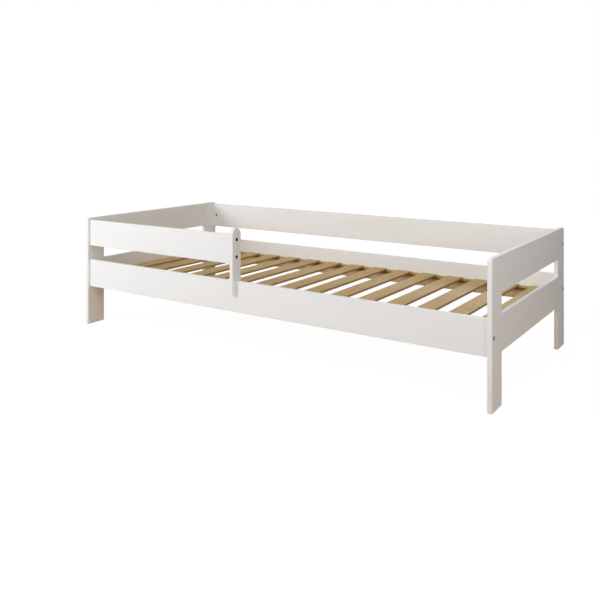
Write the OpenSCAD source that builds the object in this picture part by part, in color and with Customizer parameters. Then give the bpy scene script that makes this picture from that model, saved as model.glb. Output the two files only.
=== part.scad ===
// Toddler bed of painted boards for a 2000 x 900 mm mattress: two end frames with a window in each,
// two side rails, an upper back rail, a guard at the head end and a slatted base that lifts out.
// +X runs from the head end to the foot end, +Y to the back and +Z up.
// The origin is on the floor under the middle of the bed. Sizes are in millimetres.

/* [Mattress space] */
// Length of the mattress, which is the clear length between the end frames
mattress_l = 2000; // [1600:10:2200]
// Width of the mattress
mattress_w = 900; // [700:10:1200]
// Play between the mattress and each side rail
side_play = 2; // [0:1:15]

/* [End frames] */
// Thickness of the end frame boards
end_t = 18; // [16:1:28]
// Width of each leg board
leg_w = 100; // [80:5:140]
// Radius of a leg board's top outer corner
leg_corner_r = 12; // [2:1:30]
// Clear height under the lower boards and the side rails
clear_h = 185; // [120:5:300]
// Height of the lower cross boards
low_board_h = 130; // [110:5:180]
// Height of the window between the cross boards
window_h = 75; // [50:5:120]
// Height of the top cross boards
top_board_h = 130; // [110:5:180]

/* [Rails] */
// Thickness of the rails and the guard board
rail_t = 18; // [16:1:28]
// How far the rails stand back from the end frames' edges
rail_recess = 10; // [0:1:30]
// Height of the two side rails
side_rail_h = 130; // [110:5:160]
// Height of the upper back rail
upper_rail_h = 130; // [110:5:160]
// How far the upper back rail's top lies below the end frames' top
upper_rail_drop = 8; // [0:1:30]

/* [Guard] */
// Length of the guard board
guard_l = 897; // [500:1:1200]
// Height of the guard board
guard_h = 125; // [100:5:150]
// How far the guard board's top lies below the end frames' top
guard_drop = 10; // [0:1:30]
// Width of the guard post, across the rail
post_w = 56; // [46:1:80]
// Thickness of the guard post, along the rail
post_t = 18; // [16:1:28]
// How far the post's round top rises above the guard board
post_rise = 28; // [10:1:60]
// How far the post's two prongs reach down beside the side rail
prong_l = 60; // [30:1:90]
// Play between each prong and the side rail
slot_play = 0.3; // [0.1:0.1:1]
// Depth of the upper post bolt below the guard board's top
post_bolt_drop = 21; // [15:1:40]
// Distance between the two post bolts
post_bolt_gap = 73; // [40:1:90]

/* [Slatted base] */
// Number of slats
slat_count = 15; // [8:1:20]
// Width of a slat
slat_w = 75; // [50:1:90]
// Thickness of a slat
slat_t = 10; // [8:1:20]
// Gap between a slat's end and the side rail
slat_end_gap = 3; // [1:1:10]
// Gap between the head frame and the first slat
first_slat_gap = 20; // [2:1:40]
// Width of the webbing straps
strap_w = 24; // [15:1:30]
// Thickness of the webbing straps
strap_t = 1.2; // [0.8:0.1:3]
// Distance from a slat's end to the middle of the strap
strap_inset = 33; // [30:1:60]
// Diameter of a strap tack's head
tack_head_d = 8; // [5:0.5:10]
// Thickness of a strap tack's head
tack_head_t = 1; // [0.5:0.1:2]
// Diameter of a strap tack's shank
tack_d = 2.4; // [1.5:0.1:3]
// Length of a strap tack's shank in the slat
tack_bite = 6; // [3:0.5:7]

/* [Ledgers] */
// Width of a ledger
ledger_w = 30; // [25:1:40]
// Height of a ledger
ledger_h = 34; // [25:1:45]
// Height of a ledger's underside above the side rail's lower edge
ledger_lift = 9; // [0:1:25]
// Gap between a ledger's end and the end frame
ledger_end_gap = 15; // [0:1:60]
// Width of the bearer strip on a ledger
bearer_w = 18; // [10:1:24]
// Height of the bearer strip under the slats
bearer_h = 12; // [5:1:20]
// Depth of the notches in the bearer strip
notch_depth = 6; // [3:0.5:9]
// Gap between a slat's edge and its notch
notch_play = 1; // [0.5:0.1:2]

/* [Fasteners] */
// Diameter of a connector bolt
bolt_d = 6; // [5:1:7]
// Length of a connector bolt under its head
bolt_l = 60; // [50:1:75]
// Diameter of a connector bolt's head
bolt_head_d = 15; // [12:0.5:17]
// Height of a connector bolt's head, which lies flush
bolt_head_h = 4; // [3:0.5:6]
// Width across flats of the bolt head's socket
socket_af = 5; // [3:0.5:6]
// Diameter of a barrel nut
nut_d = 12; // [10:0.5:14]
// Length of a barrel nut
nut_l = 14; // [10:1:15]
// Distance from a board's end to the middle of its barrel nut
nut_inset = 30; // [20:1:36]
// Diameter of the dowels
dowel_d = 8; // [6:1:10]
// Length of the dowels in the end frames
frame_dowel_l = 40; // [30:1:60]
// Length of the dowels at the rail ends
rail_dowel_l = 30; // [25:1:40]
// Depth to which a rail dowel enters the leg board
dowel_in_leg = 10; // [6:1:12]
// Distance between the two dowels of one joint
dowel_spread = 80; // [60:5:90]
// Number of screws that hold each ledger
screw_count = 5; // [3:1:9]
// Diameter of a ledger screw
screw_d = 4; // [3:0.5:5]
// Length of a ledger screw
screw_l = 40; // [35:1:46]
// Diameter of a ledger screw's countersunk head
screw_head_d = 8; // [6:0.5:10]
// Play all round between a fastener and its hole
hole_play = 0.1; // [0.05:0.05:0.3]

/* [Hidden] */
$fn = 48;
// How far a cutting shape runs past the face it opens
over = 1;
// Colours of the pieces
white_paint = "#F3F1ED";
bare_pine = "#B89A6E";
beech = "#C9A877";
black_steel = "#26221F";
zinc = "#A9A9A6";
yellow_zinc = "#BFA35C";
webbing = "#5A4530";

// Lengths and widths of the whole bed
inner_w = mattress_w + 2 * side_play;
end_w = inner_w + 2 * (rail_t + rail_recess);
x_in = mattress_l / 2;
y_end = end_w / 2;
y_leg_in = y_end - leg_w;
y_rail_in = inner_w / 2;
y_rail_mid = y_rail_in + rail_t / 2;

// Heights of the boards
end_h = clear_h + low_board_h + window_h + top_board_h;
z_low_mid = clear_h + low_board_h / 2;
z_top_mid = end_h - top_board_h / 2;
z_side_top = clear_h + side_rail_h;
z_side_mid = clear_h + side_rail_h / 2;
z_upper = end_h - upper_rail_drop - upper_rail_h;
z_upper_mid = z_upper + upper_rail_h / 2;
z_guard_top = end_h - guard_drop;
z_guard = z_guard_top - guard_h;
z_guard_mid = z_guard + guard_h / 2;

// Guard post
x_post = guard_l - x_in;
post_r = post_w / 2;
z_post_top = z_guard_top + post_rise;
z_prong = z_side_top - prong_l;
z_post_bolts = [z_guard_top - post_bolt_drop, z_guard_top - post_bolt_drop - post_bolt_gap];

// Ledgers and slatted base
z_ledger = clear_h + ledger_lift;
z_bearer = z_ledger + ledger_h;
z_slat = z_bearer + bearer_h;
ledger_l = mattress_l - 2 * ledger_end_gap;
slat_pitch = mattress_l / slat_count;
y_slat_end = y_rail_in - slat_end_gap;
y_strap = y_slat_end - strap_inset;
strap_l = (slat_count - 1) * slat_pitch + slat_w;

// Joints between a board's end and what carries it:
// [x of the board's end, direction into the board, side of the bed, height, thickness passed]
frame_joints = [
    [-x_in, 1, -1, z_side_mid, end_t],
    [x_in, -1, -1, z_side_mid, end_t],
    [-x_in, 1, 1, z_side_mid, end_t],
    [x_in, -1, 1, z_side_mid, end_t],
    [-x_in, 1, 1, z_upper_mid, end_t],
    [x_in, -1, 1, z_upper_mid, end_t],
    [-x_in, 1, -1, z_guard_mid, end_t]
];
post_joints = [for (z = z_post_bolts) [x_post, -1, -1, z, post_t]];

function slat_name(i) = str("slat_", i < 10 ? "0" : "", i);
function slat_x(i) = first_slat_gap - x_in + (i - 1) * slat_pitch;
function screw_x(i) = ledger_l * ((i - 0.5) / screw_count - 0.5);

// Round bar or bore from p towards +X
module bar_x(p, d, l) {
    translate(p) rotate([0, 90, 0]) cylinder(d = d, h = l);
}

// Round bar or bore from p towards +Y
module bar_y(p, d, l) {
    translate(p) rotate([-90, 0, 0]) cylinder(d = d, h = l);
}

// Puts what is made for the +X end at the end that s names
module at_end(s) {
    mirror([s < 0 ? 1 : 0, 0, 0]) children();
}

// Puts what is made for the +Y side at the side that s names
module at_side(s) {
    mirror([0, s < 0 ? 1 : 0, 0]) children();
}

// Puts what is made at a joint in place: +X runs into the board and +Y to the bed's outside
module at_joint(j) {
    translate([j[0], j[2] * y_rail_mid, j[3]]) at_end(j[1]) at_side(j[2]) children();
}

// Bores in the end of a rail or the guard board; only a joint at an end frame has dowels
module end_bores(j, dowels) {
    at_joint(j) {
        bar_x([-over, 0, 0], bolt_d + 4 * hole_play, bolt_l - j[4] + bolt_head_h + over + hole_play);
        bar_y([nut_inset, -rail_t / 2 - over, 0], nut_d + 2 * hole_play,
            rail_t / 2 + nut_l / 2 + over + hole_play);
        if (dowels) {
            for (s = [-1, 1]) {
                bar_x([-over, 0, s * dowel_spread / 2], dowel_d + 2 * hole_play,
                    rail_dowel_l - dowel_in_leg + over + hole_play);
            }
        }
    }
}

// Bores in the leg or post that a joint's bolt passes through
module carrier_bores(j, dowels) {
    at_joint(j) {
        bar_x([-j[4] - over, 0, 0], bolt_d + 4 * hole_play, j[4] + 2 * over);
        bar_x([-j[4] - over, 0, 0], bolt_head_d + 4 * hole_play, bolt_head_h + over + hole_play);
        if (dowels) {
            for (s = [-1, 1]) {
                bar_x([-dowel_in_leg - hole_play, 0, s * dowel_spread / 2], dowel_d + 2 * hole_play,
                    dowel_in_leg + over + hole_play);
            }
        }
    }
}

// Dowels, or their bores when grown, across the seams between cross boards and leg boards
module seam_dowels(sx, sy, grow) {
    at_end(sx) at_side(sy) {
        for (z = [z_low_mid, z_top_mid], s = [-1, 1]) {
            bar_y([x_in + end_t / 2, y_leg_in - frame_dowel_l / 2 - grow, z + s * dowel_spread / 2],
                dowel_d + 2 * grow, frame_dowel_l + 2 * grow);
        }
    }
}

// Leg board of an end frame; its top outer corner is round
module leg(sx, sy) {
    color(white_paint) difference() {
        at_end(sx) at_side(sy) translate([x_in, y_leg_in, 0]) {
            cube([end_t, leg_w - leg_corner_r, end_h]);
            cube([end_t, leg_w, end_h - leg_corner_r]);
            bar_x([0, leg_w - leg_corner_r, end_h - leg_corner_r], 2 * leg_corner_r, end_t);
        }
        seam_dowels(sx, sy, hole_play);
        for (j = frame_joints) {
            if (j[0] * sx > 0 && j[2] == sy) carrier_bores(j, true);
        }
    }
}

// Cross board of an end frame, from height z
module cross_board(sx, z, h) {
    color(white_paint) difference() {
        at_end(sx) translate([x_in, -y_leg_in, z]) cube([end_t, 2 * y_leg_in, h]);
        for (sy = [-1, 1]) seam_dowels(sx, sy, hole_play);
    }
}

// Rail between the end frames at side sy, from height z
module rail(sy, z, h) {
    color(white_paint) difference() {
        at_side(sy) translate([-x_in, y_rail_in, z]) cube([mattress_l, rail_t, h]);
        for (j = frame_joints) {
            if (j[2] == sy && j[3] > z && j[3] < z + h) end_bores(j, true);
        }
        ledger_screw_set(sy, hole_play);
    }
}

module guard_board() {
    color(white_paint) difference() {
        translate([-x_in, -y_rail_in - rail_t, z_guard]) cube([guard_l, rail_t, guard_h]);
        for (j = frame_joints) {
            if (j[2] < 0 && j[3] == z_guard_mid) end_bores(j, true);
        }
        for (j = post_joints) end_bores(j, false);
    }
}

// Upright board across the rail: round top, and a slot from below that straddles the side rail
module guard_post() {
    z_round = z_post_top - post_r;
    slot_w = rail_t + 2 * slot_play;
    color(white_paint) difference() {
        union() {
            translate([x_post, -y_rail_mid - post_r, z_prong]) cube([post_t, post_w, z_round - z_prong]);
            bar_x([x_post, -y_rail_mid, z_round], post_w, post_t);
        }
        translate([x_post - over, -y_rail_mid - slot_w / 2, z_prong - over]) {
            cube([post_t + 2 * over, slot_w, prong_l + over]);
        }
        for (j = post_joints) carrier_bores(j, false);
    }
}

// Countersunk ledger screws of side sy, or their holes when grown
module ledger_screw_set(sy, grow) {
    head_r = screw_head_d / 2;
    shank_r = screw_d / 2;
    at_side(sy) for (i = [1:screw_count]) {
        translate([screw_x(i), y_rail_in - ledger_w, z_ledger + ledger_h / 2]) rotate([-90, 0, 0]) {
            rotate_extrude() polygon([
                [0, -grow], [head_r + grow, -grow], [head_r + grow, 0],
                [shank_r + grow, head_r - shank_r], [shank_r + grow, screw_l - shank_r],
                [0, screw_l + grow]
            ]);
        }
    }
}

module ledger(sy) {
    color(bare_pine) difference() {
        at_side(sy) translate([-ledger_l / 2, y_rail_in - ledger_w, z_ledger]) {
            cube([ledger_l, ledger_w, ledger_h]);
        }
        ledger_screw_set(sy, hole_play);
    }
}

// Raised strip on a ledger, against the rail, with notches in which the slat ends lie
module bearer(sy) {
    color(bare_pine) at_side(sy) difference() {
        translate([-ledger_l / 2, y_rail_in - bearer_w, z_bearer]) {
            cube([ledger_l, bearer_w, bearer_h + notch_depth]);
        }
        for (i = [1 : slat_count]) {
            translate([slat_x(i) - notch_play, y_rail_in - bearer_w - over, z_slat]) {
                cube([slat_w + 2 * notch_play, bearer_w + 2 * over, notch_depth + over]);
            }
        }
    }
}

// Tacks under slat i, or their holes when grown
module slat_tacks(i, grow) {
    for (sy = [-1, 1]) {
        translate([slat_x(i) + slat_w / 2, sy * y_strap, z_slat - strap_t]) {
            translate([0, 0, -tack_head_t]) cylinder(d = tack_head_d, h = tack_head_t);
            cylinder(d = tack_d + 2 * grow, h = strap_t + tack_bite + grow);
        }
    }
}

module slat(i) {
    color(bare_pine) difference() {
        translate([slat_x(i), -y_slat_end, z_slat]) cube([slat_w, 2 * y_slat_end, slat_t]);
        slat_tacks(i, hole_play);
    }
}

module strap(sy) {
    color(webbing) difference() {
        translate([slat_x(1), sy * y_strap - strap_w / 2, z_slat - strap_t]) {
            cube([strap_l, strap_w, strap_t]);
        }
        for (i = [1:slat_count]) slat_tacks(i, hole_play);
    }
}

module strap_tacks() {
    color(zinc) for (i = [1:slat_count]) slat_tacks(i, 0);
}

module frame_dowels() {
    color(beech) for (sx = [-1, 1], sy = [-1, 1]) seam_dowels(sx, sy, 0);
}

module rail_dowels() {
    color(beech) for (j = frame_joints, s = [-1, 1]) {
        at_joint(j) bar_x([-dowel_in_leg, 0, s * dowel_spread / 2], dowel_d, rail_dowel_l);
    }
}

module connector_bolts() {
    color(black_steel) for (j = concat(frame_joints, post_joints)) {
        at_joint(j) difference() {
            union() {
                bar_x([-j[4], 0, 0], bolt_head_d, bolt_head_h);
                bar_x([-j[4], 0, 0], bolt_d, bolt_l + bolt_head_h);
            }
            translate([-j[4] - over, 0, 0]) rotate([0, 90, 0]) {
                cylinder(d = socket_af / cos(30), h = bolt_head_h / 2 + over, $fn = 6);
            }
        }
    }
}

// Cross dowels with a hole for the bolt and a screwdriver slot in the end that shows
module barrel_nuts() {
    slot_w = 1.2;
    slot_h = 1.5;
    color(black_steel) for (j = concat(frame_joints, post_joints)) {
        at_joint(j) difference() {
            bar_y([nut_inset, -nut_l / 2, 0], nut_d, nut_l);
            bar_x([nut_inset - nut_d, 0, 0], bolt_d + 2 * hole_play, 2 * nut_d);
            translate([nut_inset - nut_d, -nut_l / 2 - over, -slot_w / 2]) {
                cube([2 * nut_d, slot_h + over, slot_w]);
            }
        }
    }
}

module ledger_screws() {
    color(yellow_zinc) for (sy = [-1, 1]) ledger_screw_set(sy, 0);
}

leg(-1, -1);  // head_front_leg
leg(-1, 1);  // head_back_leg
cross_board(-1, end_h - top_board_h, top_board_h);  // head_top_board
cross_board(-1, clear_h, low_board_h);  // head_low_board
leg(1, -1);  // foot_front_leg
leg(1, 1);  // foot_back_leg
cross_board(1, end_h - top_board_h, top_board_h);  // foot_top_board
cross_board(1, clear_h, low_board_h);  // foot_low_board
rail(-1, clear_h, side_rail_h);  // front_side_rail
rail(1, clear_h, side_rail_h);  // back_side_rail
rail(1, z_upper, upper_rail_h);  // back_upper_rail
guard_board();
guard_post();
ledger(-1);  // front_ledger
ledger(1);  // back_ledger
bearer(-1);  // front_bearer
bearer(1);  // back_bearer
strap(-1);  // front_strap
strap(1);  // back_strap
strap_tacks();
frame_dowels();
rail_dowels();
connector_bolts();
barrel_nuts();
ledger_screws();
for (i = [1:slat_count]) {
    slat(i);
}
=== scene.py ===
import math
import random

import bmesh
import bpy
from mathutils import Matrix, Vector


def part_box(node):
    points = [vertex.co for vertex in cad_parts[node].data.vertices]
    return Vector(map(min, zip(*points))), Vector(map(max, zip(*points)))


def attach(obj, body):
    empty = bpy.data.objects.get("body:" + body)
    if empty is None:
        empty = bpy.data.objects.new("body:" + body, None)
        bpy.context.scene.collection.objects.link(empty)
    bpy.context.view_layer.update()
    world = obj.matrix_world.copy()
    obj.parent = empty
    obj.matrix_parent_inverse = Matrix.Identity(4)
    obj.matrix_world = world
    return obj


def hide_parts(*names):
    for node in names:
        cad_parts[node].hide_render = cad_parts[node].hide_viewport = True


# Toddler bed: lacquered boards, a guard on a post that straddles the side rail, bare pine slats.
# Everything is in metres in the bed's own frame; sizes written in millimetres are multiplied by MM.

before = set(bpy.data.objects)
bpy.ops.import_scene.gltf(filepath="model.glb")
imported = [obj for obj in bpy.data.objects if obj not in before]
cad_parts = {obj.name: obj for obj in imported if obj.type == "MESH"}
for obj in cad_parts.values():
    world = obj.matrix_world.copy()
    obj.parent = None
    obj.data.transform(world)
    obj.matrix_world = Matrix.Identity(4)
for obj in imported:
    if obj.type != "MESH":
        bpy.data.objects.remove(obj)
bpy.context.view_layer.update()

MM = 0.001
HEAD, FOOT = -1, 1                  # the bed's ends, by the sign of x
FRONT, BACK = -1, 1                 # its sides, by the sign of y
ALONG_X, ALONG_Y, ALONG_Z = 0, 1, 2  # the way that a board runs


# ---------------------------------------------------------------- camera

camera = bpy.data.objects.new("camera", bpy.data.cameras.new("camera"))
bpy.context.scene.collection.objects.link(camera)
bpy.context.scene.camera = camera
camera.location = (1.81665, -2.84186, 0.94741)
camera.rotation_euler = (math.radians(90), 0, 0.5938)
camera.data.lens = 43.206
camera.data.shift_x = 0.00885
camera.data.shift_y = -0.28177
camera.data.clip_end = 100


# ---------------------------------------------------------------- materials
# Inputs by number: a Map Range has its value at 0, the range it comes from at 1 and 2 and the range
# it goes to at 3 and 4 (0 to 1 if not given). A Mix has its share at 0 and its colours at 6 and 7.

def colour(hex_code):
    """A hex colour as the linear numbers that shaders take."""
    channels = [int(hex_code[i:i + 2], 16) / 255 for i in (1, 3, 5)]
    linear = [c / 12.92 if c <= 0.04045 else ((c + 0.055) / 1.055) ** 2.4 for c in channels]
    return (*linear, 1.0)


def add_node(tree, kind, sockets=None, **settings):
    """Adds a node. sockets gives an input, by name or number, a value or an output to link."""
    node = tree.nodes.new(kind)
    for name, value in settings.items():
        setattr(node, name, value)
    for name, value in (sockets or {}).items():
        if isinstance(value, bpy.types.NodeSocket):
            tree.links.new(value, node.inputs[name])
        else:
            node.inputs[name].default_value = value
    return node


def start_material(name):
    """An empty material and its node tree."""
    material = bpy.data.materials.new(name)
    material.use_nodes = True
    material.node_tree.nodes.clear()
    return material, material.node_tree


def finish_material(tree, surface):
    """Gives the tree its Principled shader. Plain values stay on the shader's own sockets."""
    shader = add_node(tree, "ShaderNodeBsdfPrincipled", surface)
    add_node(tree, "ShaderNodeOutputMaterial", {"Surface": shader.outputs[0]})


def grain_noise(tree, across_mm, along_mm, detail=2.0, roughness=0.5):
    """Noise in a board's own directions; the numbers are the sizes of its blotches."""
    place = add_node(tree, "ShaderNodeAttribute", attribute_name="grain_mm")
    blotches_per_mm = (1 / across_mm, 1 / along_mm, 1 / across_mm)
    scaled = add_node(tree, "ShaderNodeVectorMath", {
        0: place.outputs["Vector"], 1: blotches_per_mm}, operation="MULTIPLY")
    noise = add_node(tree, "ShaderNodeTexNoise", {
        "Vector": scaled.outputs[0], "Scale": 1.0, "Detail": detail, "Roughness": roughness})
    return noise.outputs["Fac"]


def even_noise(tree, size_mm, detail=2.0):
    """Noise that is alike in all directions, with blotches of one size."""
    place = add_node(tree, "ShaderNodeTexCoord").outputs["Object"]
    noise = add_node(tree, "ShaderNodeTexNoise", {
        "Vector": place, "Scale": 1 / (size_mm * MM), "Detail": detail})
    return noise.outputs["Fac"]


def white_lacquer():
    """White satin lacquer, sprayed on fibreboard in two coats: even and opaque, with a broad dull
    sheen, a fine orange peel in the reflections and slight differences in gloss."""
    material, tree = start_material("white_satin_lacquer")
    cloud = add_node(tree, "ShaderNodeMapRange", {0: grain_noise(tree, 60, 260), 1: 0.3, 2: 0.7})
    paint = add_node(tree, "ShaderNodeMix", {
        0: cloud.outputs[0], 6: colour("#F2F2F1"), 7: colour("#F0F0EF")}, data_type="RGBA")
    gloss = add_node(tree, "ShaderNodeMapRange", {
        0: grain_noise(tree, 18, 45, detail=3.0), 1: 0.3, 2: 0.7, 3: 0.62, 4: 0.72})
    peel = add_node(tree, "ShaderNodeBump", {
        "Height": even_noise(tree, 1.8, detail=1.0), "Strength": 1.0, "Distance": 0.02 * MM})
    finish_material(tree, {"Base Color": paint.outputs[2], "Roughness": gloss.outputs[0],
                           "Normal": peel.outputs[0], "IOR": 1.5})
    return material


def bare_wood(name, early, late, blush, fibre_and_shade_dark, ring_mm=4.5):
    """Bare wood, planed and left untreated. Each year shows a broad pale early band and a narrow
    darker late one, as wide together as ring_mm, and the bands wander. Between them run short
    fibres, and the surface is matt."""
    material, tree = start_material(name)
    wander_mm = 11.0
    place = add_node(tree, "ShaderNodeAttribute", attribute_name="grain_mm").outputs["Vector"]
    cross_cut = add_node(tree, "ShaderNodeVectorMath", {
        0: place, 1: (1, 0, 1)}, operation="MULTIPLY")
    from_pith = add_node(tree, "ShaderNodeVectorMath", {
        0: cross_cut.outputs[0]}, operation="LENGTH")
    wander = add_node(tree, "ShaderNodeMapRange", {
        0: grain_noise(tree, 70, 420), 1: 0.2, 2: 0.8, 3: -wander_mm, 4: wander_mm})
    radius = add_node(tree, "ShaderNodeMath", {
        0: from_pith.outputs["Value"], 1: wander.outputs[0]}, operation="ADD")
    years = add_node(tree, "ShaderNodeMath", {0: radius.outputs[0], 1: ring_mm}, operation="DIVIDE")
    season = add_node(tree, "ShaderNodeMath", {0: years.outputs[0]}, operation="FRACT")
    late_share = add_node(tree, "ShaderNodeMapRange", {
        0: season.outputs[0], 1: 0.35, 2: 0.95, 3: 0.0, 4: 0.85})
    wood = add_node(tree, "ShaderNodeMix", {
        0: late_share.outputs[0], 6: colour(early), 7: colour(late)}, data_type="RGBA")
    patch = add_node(tree, "ShaderNodeMapRange", {
        0: grain_noise(tree, 120, 300, detail=1.0), 1: 0.45, 2: 0.75, 3: 0.0, 4: 0.75})
    wood = add_node(tree, "ShaderNodeMix", {
        0: patch.outputs[0], 6: wood.outputs[2], 7: colour(blush)}, data_type="RGBA")
    fibre = grain_noise(tree, 1.1, 40, detail=3.0, roughness=0.6)
    streak = add_node(tree, "ShaderNodeMapRange", {0: fibre, 1: 0.4, 2: 0.75, 3: 0.0, 4: 0.25})
    wood = add_node(tree, "ShaderNodeMix", {
        0: streak.outputs[0], 6: wood.outputs[2], 7: colour(fibre_and_shade_dark)}, data_type="RGBA")
    # Marked faces lean towards the dark fibre colour: painted shade on the slats' narrow sides,
    # darker end grain on their ends.
    side_shade_and_end_grain = add_node(tree, "ShaderNodeAttribute", attribute_name="side_shade_and_end_grain").outputs["Fac"]
    wood = add_node(tree, "ShaderNodeMix", {
        0: side_shade_and_end_grain, 6: wood.outputs[2], 7: colour(fibre_and_shade_dark)}, data_type="RGBA")
    dull = add_node(tree, "ShaderNodeMapRange", {0: fibre, 1: 0.2, 2: 0.8, 3: 0.55, 4: 0.72})
    height = add_node(tree, "ShaderNodeMath", {0: fibre, 1: late_share.outputs[0]}, operation="ADD")
    relief = add_node(tree, "ShaderNodeBump", {
        "Height": height.outputs[0], "Strength": 1.0, "Distance": 0.06 * MM})
    finish_material(tree, {"Base Color": wood.outputs[2], "Roughness": dull.outputs[0],
                           "Normal": relief.outputs[0], "IOR": 1.5})
    return material


def webbing_weave():
    """Polypropylene webbing, woven flat: ribs of twisted yarn run along it and the weft makes a
    fine zigzag across. The yarn is dull, so the strap looks deep brown from any side."""
    material, tree = start_material("brown_woven_webbing")
    rib_mm, weft_mm = 1.6, 2.2
    place = add_node(tree, "ShaderNodeAttribute", attribute_name="grain_mm").outputs["Vector"]
    parts = add_node(tree, "ShaderNodeSeparateXYZ", {0: place})
    rib = add_node(tree, "ShaderNodeMath", {
        0: parts.outputs["X"], 1: 2 * math.pi / rib_mm}, operation="MULTIPLY")
    rib = add_node(tree, "ShaderNodeMath", {0: rib.outputs[0]}, operation="SINE")
    weft = add_node(tree, "ShaderNodeMath", {
        0: parts.outputs["Y"], 1: 2 * math.pi / weft_mm}, operation="MULTIPLY")
    weft = add_node(tree, "ShaderNodeMath", {
        0: weft.outputs[0], 1: rib.outputs[0]}, operation="ADD")
    weft = add_node(tree, "ShaderNodeMath", {0: weft.outputs[0]}, operation="SINE")
    yarn = add_node(tree, "ShaderNodeMath", {
        0: rib.outputs[0], 1: weft.outputs[0]}, operation="ADD")
    raised = add_node(tree, "ShaderNodeMapRange", {0: yarn.outputs[0], 1: -2.0, 2: 2.0}).outputs[0]
    cloth = add_node(tree, "ShaderNodeMix", {
        0: raised, 6: colour("#4A2C0C"), 7: colour("#84561E")}, data_type="RGBA")
    relief = add_node(tree, "ShaderNodeBump", {
        "Height": raised, "Strength": 1.0, "Distance": 0.35 * MM})
    finish_material(tree, {"Base Color": cloth.outputs[2], "Roughness": 0.9,
                           "Normal": relief.outputs[0], "IOR": 1.5, "Specular IOR Level": 0.15})
    return material


def black_oxide_steel():
    """Bolts of blackened steel: a thin matt oxide on turned metal, near black with hardly any
    sheen. The oxide hides the metal, so it is shaded as a dull coat and not as bare metal."""
    material, tree = start_material("black_oxide_steel")
    film = even_noise(tree, 3.0, detail=3.0)
    metal = add_node(tree, "ShaderNodeMix", {
        0: film, 6: colour("#1C1816"), 7: colour("#2E2826")}, data_type="RGBA")
    dull = add_node(tree, "ShaderNodeMapRange", {0: film, 1: 0.3, 2: 0.7, 3: 0.6, 4: 0.75})
    relief = add_node(tree, "ShaderNodeBump", {
        "Height": even_noise(tree, 0.4), "Strength": 1.0, "Distance": 0.01 * MM})
    finish_material(tree, {"Base Color": metal.outputs[2], "Roughness": dull.outputs[0],
                           "Specular IOR Level": 0.1, "Normal": relief.outputs[0]})
    return material


def zinc_plate(name, thin, thick):
    """Zinc-plated steel. Passivated clear it is a light grey metal, and yellow it is a pale brass
    colour; either way it is slightly clouded."""
    material, tree = start_material(name)
    cloud = even_noise(tree, 4.0, detail=4.0)
    metal = add_node(tree, "ShaderNodeMix", {
        0: cloud, 6: colour(thin), 7: colour(thick)}, data_type="RGBA")
    dull = add_node(tree, "ShaderNodeMapRange", {0: cloud, 1: 0.3, 2: 0.7, 3: 0.28, 4: 0.42})
    relief = add_node(tree, "ShaderNodeBump", {
        "Height": even_noise(tree, 0.5), "Strength": 1.0, "Distance": 0.008 * MM})
    finish_material(tree, {"Base Color": metal.outputs[2], "Metallic": 1.0,
                           "Roughness": dull.outputs[0], "Normal": relief.outputs[0]})
    return material


LACQUER = white_lacquer()
SPRUCE = bare_wood("sawn_spruce", "#EDE6CC", "#DDD4B2", "#E8DFC2", "#CABF9E", ring_mm=3.5)
PINE = bare_wood("planed_pine", "#C7AB71", "#B29456", "#C1A06A", "#956F32")
BEECH = bare_wood("steamed_beech", "#D3AC7D", "#BE9161", "#C89A6E", "#9C7347", ring_mm=2.0)
WEBBING = webbing_weave()
BLACK_STEEL = black_oxide_steel()
ZINC = zinc_plate("clear_zinc_plate", "#B9B8B2", "#D5D3CC")
YELLOW_ZINC = zinc_plate("yellow_zinc_plate", "#B8965A", "#D2B77A")


# ---------------------------------------------------------------- making pieces

def link_mesh(name, bm, material):
    """Turns a bmesh into an object in the scene."""
    bmesh.ops.recalc_face_normals(bm, faces=bm.faces)
    mesh = bpy.data.meshes.new(name)
    bm.to_mesh(mesh)
    bm.free()
    mesh.materials.append(material)
    piece = bpy.data.objects.new(name, mesh)
    bpy.context.scene.collection.objects.link(piece)
    return piece


def settle(piece):
    """Applies a piece's modifiers to its mesh."""
    graph = bpy.context.evaluated_depsgraph_get()
    raw = piece.data
    piece.data = bpy.data.meshes.new_from_object(
        piece.evaluated_get(graph), preserve_all_data_layers=True, depsgraph=graph)
    piece.data.name = piece.name
    piece.modifiers.clear()
    bpy.data.meshes.remove(raw)


def spend(piece):
    """Takes a used pattern or cutter out of the scene."""
    mesh = piece.data
    bpy.data.objects.remove(piece)
    bpy.data.meshes.remove(mesh)


def cut_out(piece, cutter):
    """Cuts a cutter's shape out of a piece."""
    cut = piece.modifiers.new("cut", "BOOLEAN")
    cut.operation = "DIFFERENCE"
    cut.solver = "EXACT"
    cut.object = cutter
    settle(piece)
    spend(cutter)


def ease_edges(piece, radius_at, steps=3):
    """Rounds the sharp edges. radius_at takes an edge's middle, in mm, and its direction and says
    how far to round it, in mm."""
    edge_angle = math.radians(40)
    mesh = piece.data
    bm = bmesh.new()
    bm.from_mesh(mesh)
    radii = []
    for edge in bm.edges:
        a, b = (v.co for v in edge.verts)
        sharp = len(edge.link_faces) == 2 and edge.calc_face_angle() > edge_angle
        radii.append(radius_at((a + b) / 2 / MM, (b - a).normalized()) if sharp else 0.0)
    bm.free()
    widest = max(radii)
    weights = mesh.attributes.new("bevel_weight_edge", "FLOAT", "EDGE")
    weights.data.foreach_set("value", [r / widest for r in radii])
    bevel = piece.modifiers.new("easing", "BEVEL")
    bevel.limit_method = "WEIGHT"
    bevel.width = widest * MM
    bevel.segments = steps
    settle(piece)
    piece.data.attributes.remove(piece.data.attributes["bevel_weight_edge"])


def smooth_faces(piece):
    """Shades rounded edges as round and keeps the flats flat."""
    crease_angle = math.radians(38)
    piece.data.shade_smooth()
    piece.data.set_sharp_from_angle(angle=crease_angle)
    weigh = piece.modifiers.new("flats", "WEIGHTED_NORMAL")
    weigh.keep_sharp = True
    settle(piece)


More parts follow.
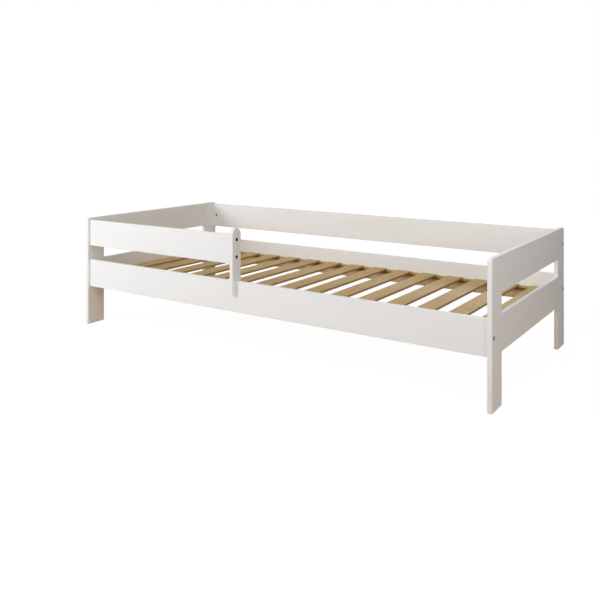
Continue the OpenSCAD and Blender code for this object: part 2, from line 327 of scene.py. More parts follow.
def lay_grain(piece, along, seed, pith_mm=(30, 60)):
    """Stores each point's place in the tree that the board was cut from: x across the board, y
    along it and z to the pith. pith_mm is how far to the side the pith may lie, and how far below
    it lies, roughly."""
    trunk_mm = 4000
    steepest = 0.012
    draw = random.Random(seed)
    aside = draw.uniform(-1, 1) * pith_mm[0]
    below = pith_mm[1] * draw.uniform(0.5, 1.4)
    start = draw.uniform(0, trunk_mm)
    lean = draw.uniform(-steepest, steepest)
    others = [axis for axis in range(3) if axis != along]
    corners = [Vector(c) for c in piece.bound_box]
    middle = sum(corners, Vector()) / 8
    size = [max(c[i] for c in corners) - min(c[i] for c in corners) for i in range(3)]
    others.sort(key=lambda axis: size[axis])
    thin, wide = others
    places = []
    for vertex in piece.data.vertices:
        p = (vertex.co - middle) / MM
        places += [p[wide] + aside + lean * p[along], p[along] + start, p[thin] + below]
    grain = piece.data.attributes.new("grain_mm", "FLOAT_VECTOR", "POINT")
    grain.data.foreach_set("vector", places)


def mark_side_shade_and_end_grain(piece, along, edge, end):
    """Marks how far faces lean towards the dark fibre colour: narrow side faces by edge, which is
    painted shade, and ends by end, which is darker end grain.
    """
    shares = []
    for face in piece.data.polygons:
        if abs(face.normal[along]) > 0.9:
            shares.append(end)
        else:
            shares.append(edge if abs(face.normal.z) < 0.4 else 0.0)
    piece.data.attributes.new("side_shade_and_end_grain", "FLOAT", "FACE").data.foreach_set("value", shares)


def fit(piece, body, slot, *nodes):
    """Parents a piece to the body it rides on and hides the solids it stands for. slot is not used.
    """
    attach(piece, body)
    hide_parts(*nodes)


def beam(name, low, high, material):
    """A squared length of board between two corners."""
    bm = bmesh.new()
    size = Matrix.Diagonal((*(high - low), 1))
    bmesh.ops.create_cube(bm, size=1, matrix=Matrix.Translation((low + high) / 2) @ size)
    return link_mesh(name, bm, material)


def comb(name, low, high, notches, material):
    """A strip with notches across its top. Each notch is (start, end, height of its floor)."""
    bm = bmesh.new()
    outline = [(low.x, low.z), (high.x, low.z), (high.x, high.z)]
    for start, end, floor in reversed(notches):
        outline += [(end, high.z), (end, floor), (start, floor), (start, high.z)]
    outline.append((low.x, high.z))
    side = bm.faces.new([bm.verts.new((x, low.y, z)) for x, z in outline])
    grown = bmesh.ops.extrude_face_region(bm, geom=[side], use_keep_orig=True)
    moved = [v for v in grown["geom"] if isinstance(v, bmesh.types.BMVert)]
    bmesh.ops.translate(bm, verts=moved, vec=(0, high.y - low.y, 0))
    return link_mesh(name, bm, material)


def panel(name, outlines, x_low, x_high, material):
    """A board cut to an outline in y and z. Neighbouring outlines share their corners."""
    bm = bmesh.new()
    corners = {}
    faces = []
    for outline in outlines:
        around = []
        for point in outline:
            key = (round(point[0] / MM, 3), round(point[1] / MM, 3))
            if key not in corners:
                corners[key] = bm.verts.new((x_low, *point))
            around.append(corners[key])
        faces.append(bm.faces.new(around))
    grown = bmesh.ops.extrude_face_region(bm, geom=faces, use_keep_orig=True)
    moved = [v for v in grown["geom"] if isinstance(v, bmesh.types.BMVert)]
    bmesh.ops.translate(bm, verts=moved, vec=(x_high - x_low, 0, 0))
    return link_mesh(name, bm, material)


def arc(centre, radius, start_deg, end_deg, steps):
    """Points in y and z round a centre, both ends counted."""
    sweep = end_deg - start_deg
    turns = [math.radians(start_deg + sweep * i / steps) for i in range(steps + 1)]
    return [(centre[0] + radius * math.cos(t), centre[1] + radius * math.sin(t)) for t in turns]


def round_ring(angle, radius):
    """Radius of a circle, the same at every angle."""
    return radius


def hexagon_ring(angle, radius):
    """Radius of a hexagon that measures 2 x radius across its flats."""
    return radius / math.cos((angle % math.radians(60)) - math.radians(30))


def cross_ring(angle, radius):
    """Radius of a screwdriver cross whose arms are 2 x radius from tip to tip."""
    off_arm = abs((angle + math.radians(45)) % math.radians(90) - math.radians(45))
    half_arm = 0.28 * radius
    return min(radius / math.cos(off_arm), half_arm / max(math.sin(off_arm), 1e-6))


def fluted_ring(angle, radius):
    """Radius of a dowel with flutes pressed along it."""
    flutes, deep = 24, 0.25 * MM
    return radius - deep * (0.5 - 0.5 * math.cos(flutes * angle))


def turn(bm, profile, place=Matrix(), sides=48):
    """A turned solid along place's z axis. profile lists (radius, height) or (radius, height, ring
    shape) in mm and starts and ends on the axis."""
    rings = []
    for radius, height, *shape in profile:
        if radius == 0:
            rings.append([bm.verts.new(place @ Vector((0, 0, height * MM)))])
            continue
        shaped = shape[0] if shape else round_ring
        ring = []
        for i in range(sides):
            angle = 2 * math.pi * i / sides
            r = shaped(angle, radius * MM)
            point = Vector((r * math.cos(angle), r * math.sin(angle), height * MM))
            ring.append(bm.verts.new(place @ point))
        rings.append(ring)
    for lower, upper in zip(rings, rings[1:]):
        for i in range(sides):
            quad = [lower[i % len(lower)], lower[(i + 1) % len(lower)],
                    upper[(i + 1) % len(upper)], upper[i % len(upper)]]
            bm.faces.new(list(dict.fromkeys(quad)))


def stand(foot, towards):
    """A place whose z axis runs from foot towards a direction."""
    turn_to = Vector(towards).to_track_quat("Z", "Y").to_matrix().to_4x4()
    return Matrix.Translation(foot) @ turn_to


def bore(radius, depth, rim=0.3):
    """Profile of a drill from 1 mm above a face, with the hole's rim lightly countersunk, in mm."""
    return [(0, 1), (radius + rim, 1), (radius + rim, 0),
            (radius, -rim), (radius, -depth), (0, -depth)]


def drill(piece, *rounds):
    """Cuts turned drills out of a piece, round after round. The drills of one round don't touch."""
    for drills in rounds:
        bm = bmesh.new()
        for profile, place, *sides in drills:
            turn(bm, profile, place, *sides)
        cut_out(piece, link_mesh("bits", bm, piece.data.materials[0]))


def set_out(name, pattern, places, material):
    """One object of many copies of a pattern mesh, at the given places."""
    bm = bmesh.new()
    for place in places:
        copy = bmesh.new()
        copy.from_mesh(pattern)
        copy.transform(place)
        loose = bpy.data.meshes.new("copy")
        copy.to_mesh(loose)
        copy.free()
        bm.from_mesh(loose)
        bpy.data.meshes.remove(loose)
    return link_mesh(name, bm, material)


# ---------------------------------------------------------------- sizes from the frame

front_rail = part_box("front_side_rail")
upper_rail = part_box("back_upper_rail")
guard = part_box("guard_board")
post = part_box("guard_post")
foot_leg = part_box("foot_front_leg")
foot_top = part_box("foot_top_board")
foot_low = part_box("foot_low_board")
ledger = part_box("back_ledger")
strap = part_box("back_strap")

x_in = front_rail[1].x                                  # the end frames' inner faces
end_thick = foot_leg[1].x - foot_leg[0].x
rail_thick = front_rail[1].y - front_rail[0].y
y_rail = -(front_rail[0].y + front_rail[1].y) / 2       # the middle of the back rails
y_leg_in = -foot_leg[1].y                               # the seams between legs and boards
y_end = -foot_leg[0].y
z_end = foot_leg[1].z

# Boards in mm: the end frames' top corners and seams, and how far edges are rounded
CORNER_R, SEAM_WIDE, SEAM_DEEP = 12.0, 1.6, 2.6
BOARD_EASE, BOARD_END_EASE = 2.0, 0.5
POST_EASE, POST_SLOT_EASE, POST_PLAY = 2.5, 0.4, 0.3
LEDGER_EASE = 1.2
BEARER_EASE, BEARER_END_EASE = 0.6, 0.3
SLAT_EASE, SLAT_END_EASE = 1.2, 0.6

# Fasteners in mm, as in the solids. The post's bolts are placed from the guard's top edge, and a
# blind hole is a little deeper than what goes into it.
POST_BOLT_DROPS = (21.0, 94.0)
SPARE_DEPTH = 0.1
BOLT_R, BOLT_BORE_R, BOLT_LENGTH = 3.0, 3.2, 60.0
HEAD_R, HEAD_BORE_R, HEAD_DEEP = 7.5, 7.7, 4.0
NUT_R, NUT_BORE_R, NUT_LONG, NUT_INSET = 6.0, 6.1, 14.0, 30.0
DOWEL_R, DOWEL_BORE_R = 4.0, 4.1
RAIL_DOWEL, DOWEL_IN_LEG, FRAME_DOWEL, DOWEL_STEP = 30.0, 10.0, 40.0, 40.0
SCREW_R, SCREW_HEAD_R, SCREW_LONG, SCREW_COUNT = 2.0, 4.0, 40.0, 5
TACK_R, TACK_HEAD_R, TACK_HEAD, TACK_BITE = 1.2, 4.0, 1.0, 6.0
SCREW_BORE_R, TACK_BORE_R = SCREW_R + 0.1, TACK_R + 0.1


class Joint:
    """A bolted joint at a board's end. into is the sign of x that points into the board, and
    through is how far the bolt runs, in mm, before it reaches the board."""

    def __init__(self, x, into, side, z, through, dowels=True):
        self.end = Vector((x, side * y_rail, z))
        self.into = Vector((into, 0, 0))
        self.inward = Vector((0, -side, 0))
        self.through = through
        self.dowels = dowels

    def along(self, mm, up=0.0):
        """The point that lies mm inside the board from its end, and up above the bolt."""
        return self.end + self.into * mm * MM + Vector((0, 0, up * MM))

    def board_drills(self):
        """Drills for the board: bolt and dowels from its end, barrel nut from its inner face."""
        bolt_hole = bore(BOLT_BORE_R, BOLT_LENGTH + HEAD_DEEP - self.through)
        from_end = [(bolt_hole, stand(self.end, -self.into))]
        if self.dowels:
            dowel_hole = bore(DOWEL_BORE_R, RAIL_DOWEL - DOWEL_IN_LEG + SPARE_DEPTH)
            from_end += [(dowel_hole, stand(self.along(0, s * DOWEL_STEP), -self.into))
                         for s in (-1, 1)]
        mouth = self.along(NUT_INSET) + self.inward * rail_thick / 2
        nut_hole = bore(NUT_BORE_R, rail_thick / 2 / MM + NUT_LONG / 2 + SPARE_DEPTH, rim=0.5)
        return from_end, [(nut_hole, stand(mouth, self.inward))]

    def carrier_drills(self):
        """Drills for the leg or post: a counterbore from outside, and dowels from the seat."""
        outer = self.along(-self.through)
        rim = 0.4
        stepped = [(0, 1), (HEAD_BORE_R + rim, 1), (HEAD_BORE_R + rim, 0), (HEAD_BORE_R, -rim),
                   (HEAD_BORE_R, -HEAD_DEEP), (BOLT_BORE_R, -HEAD_DEEP),
                   (BOLT_BORE_R, -self.through - 1), (0, -self.through - 1)]
        drills = [(stepped, stand(outer, -self.into))]
        if self.dowels:
            dowel_hole = bore(DOWEL_BORE_R, DOWEL_IN_LEG + SPARE_DEPTH)
            drills += [(dowel_hole, stand(self.along(0, s * DOWEL_STEP), self.into))
                       for s in (-1, 1)]
        return drills


def mid_z(box):
    """Height of a box's middle."""
    return (box[0].z + box[1].z) / 2


z_low, z_top = mid_z(front_rail), mid_z(foot_top)
end_through = end_thick / MM
joints = {}
for end in (HEAD, FOOT):
    for side in (FRONT, BACK):
        joints[end, side, "low"] = Joint(end * x_in, -end, side, z_low, end_through)
    joints[end, BACK, "upper"] = Joint(end * x_in, -end, BACK, mid_z(upper_rail), end_through)
joints[HEAD, FRONT, "guard"] = Joint(-x_in, 1, FRONT, mid_z(guard), end_through)
for number, drop in enumerate(POST_BOLT_DROPS):
    joints["post", number] = Joint(post[0].x, -1, FRONT, guard[1].z - drop * MM,
                                   (post[1].x - post[0].x) / MM, dowels=False)


def ledger_screw_places(side):
    """Where the ledger screws' heads lie, each facing the bed's inside."""
    length = ledger[1].x - ledger[0].x
    for i in range(SCREW_COUNT):
        x = ledger[0].x + length * (i + 0.5) / SCREW_COUNT
        yield stand(Vector((x, side * ledger[0].y, mid_z(ledger))), (0, -side, 0))


# ---------------------------------------------------------------- end frames

def build_end_frame(end, label):
    """An end frame: one outline routed round all its edges, then parted at the seams."""
    corner = CORNER_R * MM
    leg_corners = [foot_low[0].z, foot_low[1].z, foot_top[0].z]
    outlines = []
    for side in (FRONT, BACK):
        levels = [0.0, *leg_corners]
        for low, high in zip(levels, levels[1:]):
            outlines.append([(side * y_leg_in, low), (side * y_end, low),
                             (side * y_end, high), (side * y_leg_in, high)])
        bend = arc((y_end - corner, z_end - corner), corner, 0, 90, 8)
        top = [(y_leg_in, leg_corners[2]), (y_end, leg_corners[2]), *bend, (y_leg_in, z_end)]
        outlines.append([(side * y, z) for y, z in top])
    for low, high in ((leg_corners[0], leg_corners[1]), (leg_corners[2], z_end)):
        outlines.append([(-y_leg_in, low), (y_leg_in, low), (y_leg_in, high), (-y_leg_in, high)])
    whole = panel("whole_end", outlines, end * x_in, end * (x_in + end_thick), LACQUER)
    ease_edges(whole, lambda middle, direction: BOARD_EASE)

    hairline = 0.06 * MM
    heights = [(foot_low[0].z, foot_low[1].z), (foot_top[0].z, foot_top[1].z)]
    dowel_heights = [middle + s * DOWEL_STEP * MM for middle in (z_low, z_top) for s in (-1, 1)]
    dowel_hole = bore(DOWEL_BORE_R, FRAME_DOWEL / 2 + SPARE_DEPTH, rim=0.2)
    x_mid = end * (x_in + end_thick / 2)

    def seam_groove(y, low, high):
        """A four-sided cutter, squashed flat, that leaves an open seam on the inner face. It stops
        short of the boards' rounded edges."""
        stop = 2.0
        reach = (high - low) / MM - 2 * stop
        flat = Matrix.Diagonal((SEAM_DEEP, SEAM_WIDE / 2, 1, 1))
        flat = flat @ Matrix.Rotation(math.radians(45), 4, "Z")
        return ([(0, 0), (math.sqrt(2), 0), (math.sqrt(2), reach), (0, reach)],
                Matrix.Translation((end * x_in, y, low + stop * MM)) @ flat, 4)

    def part(name, cuts, keep):
        """Saws a board out of the whole frame, closes the cut faces and sets out its cuts."""
        bm = bmesh.new()
        bm.from_mesh(whole.data)
        for y, towards in cuts:
            everything = bm.verts[:] + bm.edges[:] + bm.faces[:]
            bmesh.ops.bisect_plane(bm, geom=everything, plane_co=(0, y, 0),
                                   plane_no=(0, towards, 0), clear_inner=True)
        bmesh.ops.delete(bm, geom=[v for v in bm.verts if not keep(v.co)], context="VERTS")
        bmesh.ops.edgeloop_fill(bm, edges=[e for e in bm.edges if e.is_boundary])
        board = link_mesh(name, bm, LACQUER)
        holes = [(dowel_hole, stand(Vector((x_mid, y, z)), (0, -towards, 0)))
                 for y, towards in cuts for z in dowel_heights if keep(Vector((x_mid, y, z)))]
        holes += [seam_groove(math.copysign(y_leg_in, y), low, high) for y, towards in cuts
                  for low, high in heights if keep(Vector((x_mid, y, (low + high) / 2)))]
        return board, holes

    for side, word in ((FRONT, "front"), (BACK, "back")):
        node = f"{label}_{word}_leg"
        cuts = [(side * (y_leg_in + hairline), side)]
        board, holes = part(f"lacquered_{node}", cuts, lambda co: True)
        for key, joint in joints.items():
            if key[0] == end and key[1] == side:
                holes += joint.carrier_drills()
        drill(board, holes)
        finish_board(board, ALONG_Z, node)
    near_mm = 80
    for word, middle in (("low", z_low), ("top", z_top)):
        node = f"{label}_{word}_board"
        cuts = [(s * (y_leg_in - hairline), -s) for s in (-1, 1)]
        board, holes = part(f"lacquered_{node}", cuts,
                            lambda co, m=middle: abs(co.z - m) < near_mm * MM)
        drill(board, holes)
        finish_board(board, ALONG_Y, node)
    spend(whole)


def finish_board(board, along, node):
    """Shades a lacquered board, lays its grain and fits it."""
    smooth_faces(board)
    lay_grain(board, along, node)
    fit(board, "frame", "white_lacquered_board", node)


build_end_frame(HEAD, "head")
build_end_frame(FOOT, "foot")


# ---------------------------------------------------------------- rails and guard

def long_edges(radius, end_radius, along=ALONG_X):
    """Easing for a squared board: the long edges round, those at its ends only broken."""
    return lambda middle, direction: radius if abs(direction[along]) > 0.9 else end_radius


def build_rail(node, keys, screws_of=None):
    """A rail or the guard, drilled for its joints. screws_of is the side whose ledger is screwed
    to it, if there is one."""
    low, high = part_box(node)
    board = beam(f"lacquered_{node}", low, high, LACQUER)
    ease_edges(board, long_edges(BOARD_EASE, BOARD_END_EASE))
    ends, nuts = [], []
    for key in keys:
        from_end, nut = joints[key].board_drills()
        ends += from_end
        nuts += nut
    if screws_of is not None:
        inner = -screws_of * rail_thick / 2
        ledger_thick = (ledger[1].y - ledger[0].y) / MM
        screw_hole = bore(SCREW_BORE_R, SCREW_LONG - ledger_thick + SPARE_DEPTH)
        for place in ledger_screw_places(screws_of):
            seat = Vector((place.translation.x, screws_of * y_rail + inner, place.translation.z))
            ends.append((screw_hole, stand(seat, (0, -screws_of, 0))))
    drill(board, ends, nuts)
    finish_board(board, ALONG_X, node)


build_rail("front_side_rail", [(HEAD, FRONT, "low"), (FOOT, FRONT, "low")], FRONT)
build_rail("back_side_rail", [(HEAD, BACK, "low"), (FOOT, BACK, "low")], BACK)
build_rail("back_upper_rail", [(HEAD, BACK, "upper"), (FOOT, BACK, "upper")])
build_rail("guard_board", [(HEAD, FRONT, "guard"), ("post", 0), ("post", 1)])


def build_guard_post():
    """The post: a fork that straddles the side rail, and a half-round top."""
    y_low, y_high = post[0].y, post[1].y
    z_foot, z_slot = post[0].z, front_rail[1].z
    y_mid, radius = (y_low + y_high) / 2, (y_high - y_low) / 2
    z_round = post[1].z - radius
    slot = rail_thick / 2 + POST_PLAY * MM
    y_a, y_b = y_mid - slot, y_mid + slot
    upper = [(y_low, z_slot), (y_a, z_slot), (y_b, z_slot), (y_high, z_slot),
             *arc((y_mid, z_round), radius, 0, 180, 28)]
    outlines = [
        [(y_low, z_foot), (y_a, z_foot), (y_a, z_slot), (y_low, z_slot)],
        [(y_b, z_foot), (y_high, z_foot), (y_high, z_slot), (y_b, z_slot)],
        upper]
    board = panel("lacquered_guard_post", outlines, post[0].x, post[1].x, LACQUER)

    def radius_at(middle, direction):
        in_slot = y_a - MM < middle.y * MM < y_b + MM and middle.z * MM < z_slot + MM
        return POST_SLOT_EASE if in_slot else POST_EASE

    ease_edges(board, radius_at)
    drill(board, [d for number in (0, 1) for d in joints["post", number].carrier_drills()])
    finish_board(board, ALONG_Z, "guard_post")


build_guard_post()


# ---------------------------------------------------------------- ledgers and slatted base

def build_ledger(side, word):
    """The ledger along a side rail, and the notched bearer on it that the slats sit in."""
    low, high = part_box(f"{word}_ledger")
    board = beam(f"spruce_{word}_ledger", low, high, SPRUCE)
    ease_edges(board, long_edges(LEDGER_EASE, BOARD_END_EASE))
    mouth, past = SCREW_HEAD_R + 0.3, (high.y - low.y) / MM + 1
    sink = [(0, 1), (mouth, 1), (mouth, -0.3),
            (SCREW_BORE_R, -2.5), (SCREW_BORE_R, -past), (0, -past)]
    drill(board, [(sink, place) for place in ledger_screw_places(side)])
    smooth_faces(board)
    lay_grain(board, ALONG_X, f"{word}_ledger", pith_mm=(40, 70))
    fit(board, "frame", "bare_pine", f"{word}_ledger")

    low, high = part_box(f"{word}_bearer")
    notches = [(slat[0].x - MM, slat[1].x + MM, slat[0].z) for slat in map(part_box, slats)]
    strip = comb(f"pine_{word}_bearer", low, high, notches, PINE)
    ease_edges(strip, long_edges(BEARER_EASE, BEARER_END_EASE), steps=2)
    smooth_faces(strip)
    lay_grain(strip, ALONG_X, f"{word}_bearer")
    fit(strip, "frame", "bare_pine", f"{word}_bearer")


slats = sorted(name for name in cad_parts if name.startswith("slat_"))
build_ledger(FRONT, "front")
build_ledger(BACK, "back")

y_tack = (strap[0].y + strap[1].y) / 2
tack_hole = bore(TACK_BORE_R, TACK_BITE + SPARE_DEPTH, rim=0.1)
for name in slats:
    low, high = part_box(name)
    board = beam(f"pine_{name}", low, high, PINE)
    ease_edges(board, long_edges(SLAT_EASE, SLAT_END_EASE, ALONG_Y))
    x_mid = (low.x + high.x) / 2
    drill(board, [(tack_hole, stand(Vector((x_mid, side * y_tack, low.z)), (0, 0, -1)))
                  for side in (FRONT, BACK)])
    smooth_faces(board)
    lay_grain(board, ALONG_Y, name)
    # Painted shade on the slats' narrow sides; darker end grain on their ends.
    mark_side_shade_and_end_grain(board, ALONG_Y, edge=0.75, end=0.5)
    fit(board, "slat_base", "bare_pine", name)


def build_strap(side, word):
    """Webbing under the slats, tacked to each and hanging a little slack between them."""
    low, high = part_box(f"{word}_strap")
    slack, worn_edge = 2.0 * MM, 0.3 * MM
    gap_steps, across = 12, 8
    bounds = [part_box(name) for name in slats]
    stations = []
    for number, (slat_low, slat_high) in enumerate(bounds):
        stations += [(slat_low.x, 0.0), (slat_high.x, 0.0)]
        if number + 1 < len(bounds):
            gap = bounds[number + 1][0].x - slat_high.x
            stations += [(slat_high.x + gap * i / gap_steps,
                          slack * math.sin(math.pi * i / gap_steps) ** 2)
                         for i in range(1, gap_steps)]
    bm = bmesh.new()
    loops = []
    for x, sag in stations:
        ring = []
        for top in (True, False):
            steps = range(across + 1) if top else range(across, -1, -1)
            for i in steps:
                y = low.y + (high.y - low.y) * i / across
                edge = worn_edge if i in (0, across) else 0.0
                z = (high.z - edge if top else low.z + edge) - sag
                ring.append(bm.verts.new((x, y, z)))
        loops.append(ring)
    for near, far in zip(loops, loops[1:]):
        for i in range(len(near)):
            j = (i + 1) % len(near)
            bm.faces.new((near[i], near[j], far[j], far[i]))
    bm.faces.new(loops[0])
    bm.faces.new(list(reversed(loops[-1])))
    piece = link_mesh(f"webbing_{word}_strap", bm, WEBBING)
    smooth_faces(piece)
    lay_grain(piece, ALONG_X, f"{word}_strap")
    fit(piece, "slat_base", "brown_webbing", f"{word}_strap")


build_strap(FRONT, "front")
build_strap(BACK, "back")


# ---------------------------------------------------------------- fasteners

def pattern(name, profile, material, sides=48):
    """A turned fastener as a pattern object, standing on the origin."""
    bm = bmesh.new()
    turn(bm, profile, sides=sides)
    return link_mesh(name, bm, material)


def thread(radius, start, end, pitch, depth):
    """Profile of a thread drawn as rings, in mm."""
    points = []
    height = start
    while height + pitch <= end:
        points += [(radius, height), (radius - depth, height + pitch / 2)]
        height += pitch
    return points


# Bolt with a 5 mm hexagon socket: the head's face is at 0 and the shank runs up, into the board
bolt = pattern("bolt", [
    (0, 3.2, hexagon_ring), (0.6, 3.2, hexagon_ring), (2.5, 3.0, hexagon_ring),
    (2.5, 0.35, hexagon_ring), (2.9, 0), (3.4, 0), (6.4, 0.05), (7.1, 0.25),
    (HEAD_R, 0.8), (HEAD_R, HEAD_DEEP), (BOLT_R, HEAD_DEEP),
    *thread(BOLT_R, 36, BOLT_LENGTH + HEAD_DEEP - 1, 1.0, 0.5),
    (BOLT_R - 0.9, BOLT_LENGTH + HEAD_DEEP), (0, BOLT_LENGTH + HEAD_DEEP)], BLACK_STEEL)
smooth_faces(bolt)
places = [stand(j.along(-j.through), j.into) for j in joints.values()]
bolts = set_out("black_connector_bolts", bolt.data, places, BLACK_STEEL)
smooth_faces(bolts)
fit(bolts, "frame", "black_bolt_steel", "connector_bolts")
spend(bolt)

# Barrel nut: its slotted end is at half its length up and faces the mouth of its hole
half, chamfer = NUT_LONG / 2, 0.6
slot_half_wide, slot_deep = 0.6, 1.5
nut = pattern("nut", [
    (0, -half), (NUT_R - chamfer, -half), (NUT_R, -half + chamfer),
    (NUT_R, half - chamfer), (NUT_R - chamfer, half), (0, half)], BLACK_STEEL)
tapped_hole = [(0, -NUT_R - 1), (BOLT_R + 0.3, -NUT_R - 1), (BOLT_R + 0.1, -NUT_R + 0.7),
               (BOLT_R + 0.1, NUT_R - 0.7), (BOLT_R + 0.3, NUT_R + 1), (0, NUT_R + 1)]
drill(nut, [(tapped_hole, stand(Vector(), (1, 0, 0)))])
slot_low = Vector((-NUT_R - 1, -slot_half_wide, half - slot_deep)) * MM
slot_high = Vector((NUT_R + 1, slot_half_wide, half + 1)) * MM
cut_out(nut, beam("slot", slot_low, slot_high, BLACK_STEEL))
places = []
for j in joints.values():
    axes = Matrix((j.into, j.inward.cross(j.into), j.inward)).transposed().to_4x4()
    places.append(Matrix.Translation(j.along(NUT_INSET)) @ axes)
nuts = set_out("black_barrel_nuts", nut.data, places, BLACK_STEEL)
smooth_faces(nuts)
fit(nuts, "frame", "black_bolt_steel", "barrel_nuts")
spend(nut)

# Countersunk screw: the head's face is at 0 and its tip points down, away from the driver
screw = pattern("screw", [
    (0, -2.2), (0.7, -2.1, cross_ring), (1.9, -0.7, cross_ring), (2.4, 0, cross_ring), (3.7, 0),
    (SCREW_HEAD_R, -0.3), (SCREW_R, -2.4),
    *[(r, -h) for r, h in thread(SCREW_R, 12, SCREW_LONG - 3, 1.8, 0.7)],
    (0.9, -SCREW_LONG + 2), (0, -SCREW_LONG)], YELLOW_ZINC)
places = [place for side in (FRONT, BACK) for place in ledger_screw_places(side)]
screws = set_out("yellow_ledger_screws", screw.data, places, YELLOW_ZINC)
smooth_faces(screws)
fit(screws, "frame", "yellow_zinc_steel", "ledger_screws")
spend(screw)

# Tack: the domed head lies against the strap and the nail goes up into the slat
tack = pattern("tack", [
    (0, -TACK_HEAD), (1.6, -TACK_HEAD + 0.08), (3.0, -TACK_HEAD + 0.35), (3.8, -0.3),
    (TACK_HEAD_R, 0), (TACK_R, 0), (TACK_R, TACK_BITE - 1.0), (0, TACK_BITE + 1.2)], ZINC, sides=24)
places = []
for name in slats:
    low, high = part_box(name)
    places += [Matrix.Translation(((low.x + high.x) / 2, side * y_tack, strap[0].z))
               for side in (FRONT, BACK)]
tacks = set_out("zinc_strap_tacks", tack.data, places, ZINC)
smooth_faces(tacks)
fit(tacks, "slat_base", "zinc_plated_steel", "strap_tacks")
spend(tack)


def build_dowels(node, length, along, places):
    """Fluted beech dowels of one length, chamfered at both ends, each standing on its place."""
    tip_r = DOWEL_R - 0.8
    rod = pattern("rod", [
        (0, 0), (tip_r, 0), (DOWEL_R, 1, fluted_ring),
        (DOWEL_R, length - 1, fluted_ring), (tip_r, length), (0, length)], BEECH, sides=72)
    rods = set_out(f"beech_{node}", rod.data, places, BEECH)
    smooth_faces(rods)
    lay_grain(rods, along, node)
    fit(rods, "frame", "beech", node)
    spend(rod)


build_dowels("rail_dowels", RAIL_DOWEL, ALONG_X, [
    stand(j.along(-DOWEL_IN_LEG, s * DOWEL_STEP), j.into)
    for j in joints.values() if j.dowels for s in (-1, 1)])
places = []
for end in (HEAD, FOOT):
    for side in (FRONT, BACK):
        x, y = end * (x_in + end_thick / 2), side * y_leg_in - FRAME_DOWEL / 2 * MM
        places += [stand(Vector((x, y, z + s * DOWEL_STEP * MM)), (0, 1, 0))
                   for z in (z_low, z_top) for s in (-1, 1)]
build_dowels("frame_dowels", FRAME_DOWEL, ALONG_Y, places)


# ---------------------------------------------------------------- floor and light

DAYLIGHT = colour("#F9FAFE")
WARM_WHITE = colour("#FFFAF2")


def seen_white(tree):
    """1 for what the camera sees, straight or by way of a reflection or glass, and 0 for light."""
    path = add_node(tree, "ShaderNodeLightPath").outputs
    mirrored = add_node(tree, "ShaderNodeMath", {
        0: path["Is Camera Ray"], 1: path["Is Glossy Ray"]}, operation="MAXIMUM")
    seen = add_node(tree, "ShaderNodeMath", {
        0: mirrored.outputs[0], 1: path["Is Transmission Ray"]}, operation="MAXIMUM")
    return seen.outputs[0]


def white_backdrop_world():
    """Soft warm light from all round; what is seen directly or in a reflection is white."""
    world = bpy.data.worlds.new("studio")
    bpy.context.scene.world = world
    world.use_nodes = True
    tree = world.node_tree
    tree.nodes.clear()
    soft = add_node(tree, "ShaderNodeBackground", {"Color": WARM_WHITE, "Strength": 0.17})
    white = add_node(tree, "ShaderNodeBackground", {"Color": (1, 1, 1, 1), "Strength": 1.0})
    mix = add_node(tree, "ShaderNodeMixShader", {
        0: seen_white(tree), 1: soft.outputs[0], 2: white.outputs[0]})
    add_node(tree, "ShaderNodeOutputWorld", {"Surface": mix.outputs[0]})


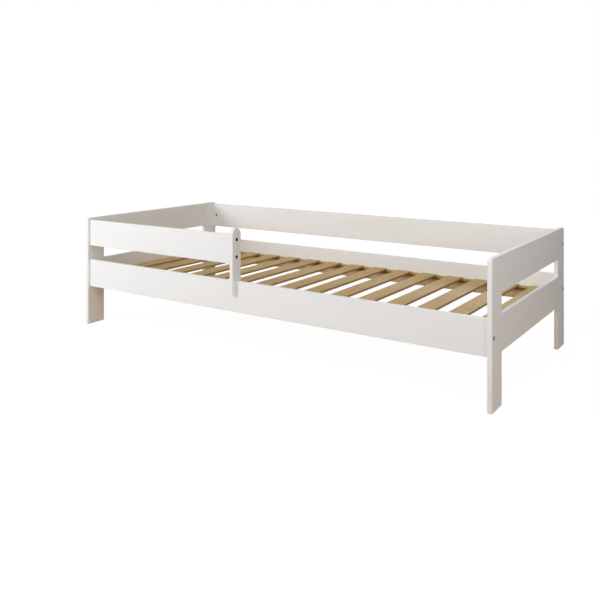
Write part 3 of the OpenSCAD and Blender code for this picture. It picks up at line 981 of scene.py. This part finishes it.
def studio_floor():
    """A floor that looks white but throws warm light back, as pale oak boards do. Round the bed it
    is a touch below white and takes faint shadows; further out it is full white."""
    near_white, near_m, far_m = 0.955, 1.4, 2.4
    bm = bmesh.new()
    bmesh.ops.create_grid(bm, x_segments=1, y_segments=1, size=20)
    material, tree = start_material("studio_floor")
    place = add_node(tree, "ShaderNodeTexCoord").outputs["Object"]
    far = add_node(tree, "ShaderNodeVectorMath", {0: place}, operation="LENGTH")
    white = add_node(tree, "ShaderNodeMapRange", {
        0: far.outputs["Value"], 1: near_m, 2: far_m, 3: near_white, 4: 1.0})
    glow = add_node(tree, "ShaderNodeEmission", {
        "Color": (1, 1, 1, 1), "Strength": white.outputs[0]})
    matt = add_node(tree, "ShaderNodeBsdfDiffuse", {"Color": (0.09, 0.09, 0.09, 1)})
    shown = add_node(tree, "ShaderNodeAddShader", {0: glow.outputs[0], 1: matt.outputs[0]})
    boards = colour("#C8C6BE")
    # Patches of other colours on the boards: middle and reach in metres, and the colour
    for middle, reach, shade in (((1.7, 0, 0), (1.2, 1.3, 1), "#8C6A18"),
                                 ((1.1, 1.1, 0), (1.6, 0.7, 1), "#34331F"),
                                 ((0, 0, 0), (1.3, 0.62, 1), "#D8980E")):
        patch = add_node(tree, "ShaderNodeMapping", {
            "Vector": place, "Location": middle, "Scale": reach}, vector_type="TEXTURE")
        away = add_node(tree, "ShaderNodeVectorMath", {0: patch.outputs[0]}, operation="LENGTH")
        fade = add_node(tree, "ShaderNodeMapRange", {
            0: away.outputs["Value"], 1: 0.8, 2: 1.2, 3: 1.0, 4: 0.0})
        boards = add_node(tree, "ShaderNodeMix", {
            0: fade.outputs[0], 6: boards, 7: colour(shade)}, data_type="RGBA").outputs[2]
    warm = add_node(tree, "ShaderNodeBsdfDiffuse", {"Color": boards})
    mix = add_node(tree, "ShaderNodeMixShader", {
        0: seen_white(tree), 1: warm.outputs[0], 2: shown.outputs[0]})
    add_node(tree, "ShaderNodeOutputMaterial", {"Surface": mix.outputs[0]})
    floor = link_mesh("floor", bm, material)


def soft_box(name, place, aim, size, power, shade=DAYLIGHT):
    """A square soft box that faces a point. size is its side in metres and power is in watts."""
    light = bpy.data.lights.new(name, "AREA")
    light.shape = "SQUARE"
    light.size = size
    light.energy = power
    light.color = shade[:3]
    lamp = bpy.data.objects.new(name, light)
    bpy.context.scene.collection.objects.link(lamp)
    lamp.matrix_world = stand(place, Vector(place) - Vector(aim))


white_backdrop_world()
studio_floor()
BED_MIDDLE = (0, 0, 0.3)
soft_box("far_left", (-5, -7, 3.5), BED_MIDDLE, 3.0, 180)
soft_box("near_front", (1, -4.5, 1.3), BED_MIDDLE, 1.5, 14)
soft_box("overhead", (1.1, 0, 3.8), BED_MIDDLE, 3.0, 20, WARM_WHITE)
soft_box("front_overhead", (0, -3, 4), BED_MIDDLE, 2.5, 40)
soft_box("near_left", (-2.2, -2.4, 1.4), (-0.6, 0, 0.3), 1.5, 31)
soft_box("right", (3.6, -1.8, 1.4), BED_MIDDLE, 2.0, 27)
soft_box("near_right", (2.6, -1.6, 1.1), (0.4, 0, 0.3), 1.0, 6)
soft_box("back", (-1, 5, 1.1), BED_MIDDLE, 2.0, 80)

scene = bpy.context.scene
scene.view_settings.view_transform = "Standard"
